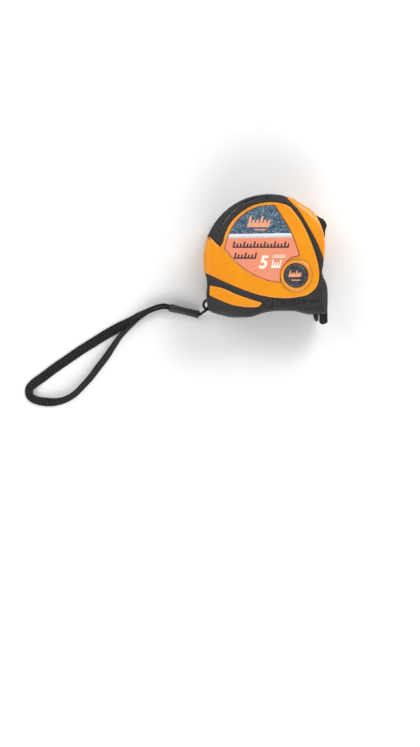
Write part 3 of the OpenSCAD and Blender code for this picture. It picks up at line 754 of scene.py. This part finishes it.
def flat_piece(name, outlines, z, slot, finish, thickness=ink_h):
    """Thin printed shapes: each outline of (x, y) points in millimetres is a low prism from height z."""
    points, faces = [], []
    for outline in outlines:
        first, n = len(points), len(outline)
        points += [(x, y, z) for x, y in outline] + [(x, y, z + thickness) for x, y in outline]
        faces.append(tuple(first + k for k in range(n - 1, -1, -1)))
        faces.append(tuple(first + n + k for k in range(n)))
        for k in range(n):
            on = (k + 1) % n
            faces.append((first + k, first + on, first + n + on, first + n + k))
    show(name, mesh_of(name, points, faces, smooth=False), "case", slot, finish=finish)


slant = 0.22                            # lean of the printed marks, per millimetre of height


def slanted(x, y, w, h):
    """A bar leaning to the right, from its lower left corner."""
    return [(x, y), (x + w, y), (x + w + slant * h, y + h), (x + slant * h, y + h)]


def ruler(x, y, length, height, pitch, base=0.22, bold=0.5):
    """One leaning outline of a base line with ticks on it, in which each third tick is taller.

    The base is a share of the height, and bold is the ticks' share of the pitch.
    """
    short = 0.68
    count = round(length / pitch)
    low = base * height
    upright = [(0, 0), ((count + bold) * pitch, 0)]
    for k in range(count, -1, -1):
        left, right = k * pitch, (k + bold) * pitch
        top = height if k % 3 == 0 else short * height
        upright += [(right, low), (right, top), (left, top), (left, low)]
    return [[(x + u + slant * v, y + v) for u, v in upright]]


def figure(text, size, shear=0.0, bold=0.02):
    """Mesh of a plain number, as thick as a printed mark, its lower left corner at the origin."""
    curve = bpy.data.curves.new("figure", "FONT")
    curve.body = text
    curve.size = size * MM
    curve.shear = shear
    curve.offset = bold * size * MM
    curve.extrude = ink_h / 2 * MM
    holder = bpy.data.objects.new("figure_source", curve)
    scene.collection.objects.link(holder)
    mesh = bpy.data.meshes.new_from_object(holder.evaluated_get(bpy.context.evaluated_depsgraph_get()))
    bpy.data.objects.remove(holder)
    return mesh


def print_label():
    """Marks on the label: rulers where a name might stand, and a plain 5 beside a short scale."""
    z = label_top
    rulers = ruler(-22.8, 7.6, 33.6, 3.9, 2.1) + ruler(-22.0, 0.8, 12.6, 3.9, 2.1)
    flat_piece("label_ruler", rulers, z, "label_print", dark_ink)
    scale = ruler(0.9, -4.8, 4.8, 5.0, 1.6, base=0.3)
    flat_piece("label_scale", scale, z, "label_print", pale_ink)
    rules = [slanted(1.8, 1.6, 8.0, 0.6), slanted(2.4, 2.9, 7.6, 0.4)]
    flat_piece("label_rule", rules, z, "label_print", pale_ink)
    five = figure("5", 10.8, shear=0.25, bold=0.03)
    five.transform(Matrix.Translation(Vector((-7.0, -4.8, z + ink_h / 2)) * MM))
    show("label_number", five, "case", "label_print", finish=pale_ink)
    sign = ruler(-13.6, 20.4, 12.0, 6.6, 2.4, base=0.4, bold=0.58)
    flat_piece("label_sign", sign, z, "label_print", salmon_ink)
    flat_piece("label_sign_rule", [slanted(-9.5, 18.5, 7.5, 0.6)], z, "label_print", salmon_ink)


def print_badge():
    """The label's ruler sign again, small, on the badge."""
    z = badge_high.z + 0.08
    x, y = badge_centre.x, badge_centre.y
    above_dome = 0.05
    sign = ruler(x - 4.6, y - 0.9, 6.75, 3.9, 1.35, base=0.4, bold=0.58)
    flat_piece("badge_sign", sign, z, "badge_print", salmon_ink, above_dome)
    rule = [slanted(x - 2.8, y - 3.2, 5.4, 0.6)]
    flat_piece("badge_sign_rule", rule, z, "badge_print", salmon_ink, above_dome)


make_badge()
print_label()
print_badge()


# ---------------------------------------------------------------- beads on the armour

def surface_of(piece):
    """A piece's faces, for finding the height of its surface."""
    mesh = piece.data
    return BVHTree.FromPolygons([v.co for v in mesh.vertices], [p.vertices for p in mesh.polygons])


def bead(name, route, half_w, height, surface):
    """A raised bead of rubber along a route of (x, y) points, tapered at its ends, seated on a surface."""
    root = 0.3                          # how far its foot goes into the surface
    tip = 0.05                          # size of its ends, next to its full size
    tips = 8                            # each end tapers over the length divided by this
    down = Vector((0, 0, -1))
    points = []
    arch = np.linspace(0, math.pi, 9)
    for i, (x, y) in enumerate(route):
        ahead = np.array(route[min(i + 1, len(route) - 1)]) - np.array(route[max(i - 1, 0)])
        side = np.array([-ahead[1], ahead[0]]) / np.linalg.norm(ahead)
        t = i / (len(route) - 1)
        taper = max(tip, min(1.0, tips * t, tips * (1 - t)))
        seat = surface.ray_cast(Vector((x, y, front_z + 5)) * MM, down)[0].z / MM
        section = [(half_w * math.cos(a), height * math.sin(a)) for a in arch]
        section += [(-half_w, -root), (half_w, -root)]
        for across, up in section:
            points.append((x + side[0] * across * taper, y + side[1] * across * taper, seat + up * taper))
    mesh = mesh_of(name, points, ring_faces(len(route), len(section)))
    show(name, mesh, "case", "black_rubber", finish=finishes["black_gloss"])


def polar_route(start, end, count=36):
    """Points from start to end, each a (radius, angle in degrees) about the reel's axis."""
    return [(r * math.cos(math.radians(a)), r * math.sin(math.radians(a)))
            for r, a in zip(np.linspace(start[0], end[0], count), np.linspace(start[1], end[1], count))]


armour = surface_of(front_armour)
bead_half_w = 0.42
bead_h = 0.36
bead("armour_bead_rear", polar_route((35.8, 145), (37.6, 120.5)), bead_half_w, bead_h, armour)
bead("armour_bead_front", polar_route((37.8, 115.5), (38.7, 91)), bead_half_w, bead_h, armour)


# ---------------------------------------------------------------- scale on the blade

blade_low, blade_high = box_mm("blade_tongue")
blade_mid = (blade_low.z + blade_high.z) / 2
blade_t = 0.3
zero_back = 1.0                         # from the hook's outer face back to the start of the scale
blade_zero = box_mm("end_hook")[1].x - zero_back
tick_lengths = {10: 5.2, 5: 3.6, 1: 2.4}        # for each tenth, fifth and single millimetre


def blade_face():
    """Lowest point and radius of the blade's hollow face, from the CAD blade's end."""
    half = (blade_high.z - blade_low.z) / 2
    rim = blade_high.y
    middle = blade_low.y + blade_t
    rise = rim - middle
    return middle, (half ** 2 + rise ** 2) / (2 * rise)


face_low, face_r = blade_face()


def on_blade(x, z, above):
    """A point above the blade's hollow face, z millimetres from its middle line."""
    return (x, face_low + face_r - math.sqrt(face_r ** 2 - z ** 2) + above, blade_mid + z)


def print_ticks():
    """Millimetre ticks along both edges, longer at each fifth and tenth."""
    half = (blade_high.z - blade_low.z) / 2
    half_w = 0.13
    half_h = 0.02
    margin = 0.25                       # from the blade's edge to the ticks
    steps = 6                           # points along a tick, which follows the blade's curve
    corners = ((-half_w, -half_h), (half_w, -half_h), (half_w, half_h), (-half_w, half_h))
    points, faces = [], []
    for k in range(1, int(blade_zero - blade_low.x)):
        length = next(length for step, length in tick_lengths.items() if k % step == 0)
        for side in (1, -1):
            first = len(points)
            for z in np.linspace(half - margin, half - length, steps):
                points += [on_blade(blade_zero - k - side * dx, side * z, up) for dx, up in corners]
            faces += [tuple(first + i for i in face) for face in ring_faces(steps, len(corners))]
    mesh = mesh_of("blade_ticks", points, faces, smooth=False)
    show("blade_ticks", mesh, "blade", "blade_paint", finish=blade_ink)


def print_numbers():
    """A plain number at each centimetre, upright when the blade's end points to the left."""
    size = 6.0
    corner_x = 4.6                      # a number's lower left corner, from its tick along the blade
    corner_z = -0.36 * size             # and from the blade's middle line across it
    lift = 0.02                         # from the blade's face to the middle of the print
    upright = Matrix(((-1, 0, 0, 0), (0, 0, 1, 0), (0, 1, 0, 0), (0, 0, 0, 1)))
    bm = bmesh.new()
    for k in range(1, int((blade_zero - blade_low.x) / 10) + 1):
        digit = figure(str(k), size, bold=0.0)
        corner = Vector((blade_zero - 10 * k + corner_x, 0, corner_z))
        digit.transform(Matrix.Translation(corner * MM) @ upright)
        bm.from_mesh(digit)
    for v in bm.verts:
        x, y, z = v.co / MM
        v.co = Vector(on_blade(x, z, y + lift)) * MM
    numbers = bpy.data.meshes.new("blade_numbers")
    bm.to_mesh(numbers)
    bm.free()
    show("blade_numbers", numbers, "blade", "blade_paint", finish=blade_ink)


print_ticks()
print_numbers()


# ---------------------------------------------------------------- screws

def head_centres(node):
    """Middle of each screw head in a CAD node, from the corners of the heads' lowest faces."""
    low = box_mm(node)[0].z
    height_error = 0.01
    apart = 8                           # points nearer than this are on one head
    groups = []
    for v in nodes[node].data.vertices:
        p = v.co / MM
        if p.z < low + height_error:
            near = [g for g in groups if (g[0] - p).length < apart]
            if near:
                near[0].append(p)
            else:
                groups.append([p])
    return [sum(g, Vector()) / len(g) for g in groups]


def plus_signs(name, centres, arm, width, depth):
    """Upright prisms in the shape of a plus sign, reaching depth above and below each centre."""
    across = width / 2
    quarter = [(arm, -across), (arm, across), (across, across)]
    sign = []
    for _ in range(4):
        sign += quarter
        quarter = [(-y, x) for x, y in quarter]
    points, faces = [], []
    for centre in centres:
        first = len(points)
        for z in (-depth, depth):
            points += [centre + Vector((x, y, z)) for x, y in sign]
        faces += [tuple(first + i for i in face) for face in ring_faces(2, len(sign))]
    return mesh_of(name, points, faces, smooth=False)


def round_edges(piece, width, segments):
    """Modifiers that weld a CAD piece's triangles and round its sharp edges."""
    weld = piece.modifiers.new("weld", "WELD")
    weld.merge_threshold = weld_gap
    bevel = piece.modifiers.new("rounded_edges", "BEVEL")
    bevel.width = width * MM
    bevel.segments = segments
    bevel.limit_method = "ANGLE"
    bevel.angle_limit = math.radians(35)


def crossed(name, node, arm=1.7, width=0.75, depth=0.9):
    """CAD screws with rounded edges and a cross recess in each head."""
    recesses = plus_signs(name + "_cutter", head_centres(node), arm, width, depth)
    screw = bpy.data.objects.new(name + "_source", nodes[node].data.copy())
    cutter = bpy.data.objects.new(name + "_cutter", recesses)
    for piece in (screw, cutter):
        scene.collection.objects.link(piece)
    round_edges(screw, 0.12, 2)
    cut = screw.modifiers.new("cut", "BOOLEAN")
    cut.object = cutter
    cut.solver = "EXACT"
    mesh = bpy.data.meshes.new_from_object(screw.evaluated_get(bpy.context.evaluated_depsgraph_get()))
    bpy.data.objects.remove(screw)
    bpy.data.objects.remove(cutter)
    show(name, mesh, "case", "screw_steel", [node])


crossed("clip_screw_crossed", "clip_screw")
crossed("case_screws_crossed", "case_screws")
crossed("centre_screw_crossed", "centre_screw", arm=1.4, width=0.65, depth=0.7)


# ---------------------------------------------------------------- CAD pieces that stay

def refine(node, slot, width):
    """Gives a CAD piece its finish, smooth shading and rounded edges, without moving its points."""
    piece = nodes[node]
    for item in piece.material_slots:
        item.link = "OBJECT"
        item.material = finishes[slot]
    round_edges(piece, width, 3)
    piece.modifiers.new("even_shading", "WEIGHTED_NORMAL")
    for polygon in piece.data.polygons:
        polygon.use_smooth = True


for node, slot, width in [
    ("front_label", "label_print", 0.05),
    ("belt_clip", "clip_steel", 0.2),
    ("arbor_post", "white_plastic", 0.1),
    ("mouth_guide", "dark_plastic", 0.15),
    ("mouth_bumper", "black_rubber", 0.25),
    ("strap_bar", "dark_plastic", 0.3),
    ("reel_drum", "white_plastic", 0.1),
    ("reel_cover", "white_plastic", 0.1),
    ("blade_coil", "blade_paint", 0.05),
    ("power_spring", "spring_steel", 0.05),
    ("blade_tongue", "blade_paint", 0.05),
    ("hook_rivets", "screw_steel", 0.15),
    ("end_hook", "hook_paint", 0.25),
    ("lock_button", "dark_plastic", 0.5),
    ("lock_slider", "dark_plastic", 0.15),
    ("brake_pad", "black_rubber", 0.15),
]:
    refine(node, slot, width)


# ---------------------------------------------------------------- floor and light

def make_floor():
    """A plain pale floor, wide enough to fill every view."""
    reach = 6                           # metres from its middle to each edge
    corners = [(-reach, -reach, 0), (reach, -reach, 0), (reach, reach, 0), (-reach, reach, 0)]
    mesh = bpy.data.meshes.new("floor")
    mesh.from_pydata(corners, [], [(0, 1, 2, 3)])
    floor = bpy.data.objects.new("floor", mesh)
    scene.collection.objects.link(floor)
    pale = Finish("pale_floor", (0.95, 0.95, 0.945), Roughness=0.95, Specular_IOR_Level=0.1)
    mesh.materials.append(pale.material)


def make_light(name, at, size, power):
    """A soft square lamp that faces the object."""
    light = bpy.data.objects.new(name, bpy.data.lights.new(name, "AREA"))
    light.data.shape = "SQUARE"
    light.data.size = size
    light.data.energy = power
    light.location = at
    light.rotation_mode = "QUATERNION"
    light.rotation_quaternion = (-Vector(at)).to_track_quat("-Z", "Y")
    scene.collection.objects.link(light)


def make_world(overhead, horizon):
    """Pale surroundings, dim overhead and brighter towards the horizon, most of all on the right."""
    middle = 0.65                       # brightness between left and right, and what the right adds
    swing = 0.35
    world = bpy.data.worlds.new("studio")
    world.use_nodes = True
    tree = world.node_tree
    tree.nodes["Background"].inputs["Color"].default_value = (1, 1, 1, 1)
    at = tree.nodes.new("ShaderNodeSeparateXYZ")
    tree.links.new(tree.nodes.new("ShaderNodeTexCoord").outputs["Generated"], at.inputs[0])

    def combine(operation, first, second):
        """Output of a math node on two values or outputs."""
        made = tree.nodes.new("ShaderNodeMath")
        made.operation = operation
        for socket, value in zip(made.inputs, (first, second)):
            if isinstance(value, bpy.types.NodeSocket):
                tree.links.new(value, socket)
            else:
                socket.default_value = value
        return made.outputs[0]

    low = combine("SUBTRACT", 1.0, combine("ABSOLUTE", at.outputs["Z"], 0.0))
    right = combine("ADD", middle, combine("MULTIPLY", at.outputs["X"], swing))
    glow = combine("MULTIPLY", combine("MULTIPLY", low, right), horizon / middle)
    tree.links.new(combine("ADD", glow, overhead), tree.nodes["Background"].inputs["Strength"])
    scene.world = world


make_floor()
make_light("key", (0.75, 0.95, 1.2), 0.7, 11)
make_light("fill", (-0.9, 0.6, 1.3), 1.0, 6)
make_light("low_fill", (0.1, -1.2, 1.0), 1.0, 9)
make_world(0.22, 1.0)
scene.view_settings.view_transform = "Standard"
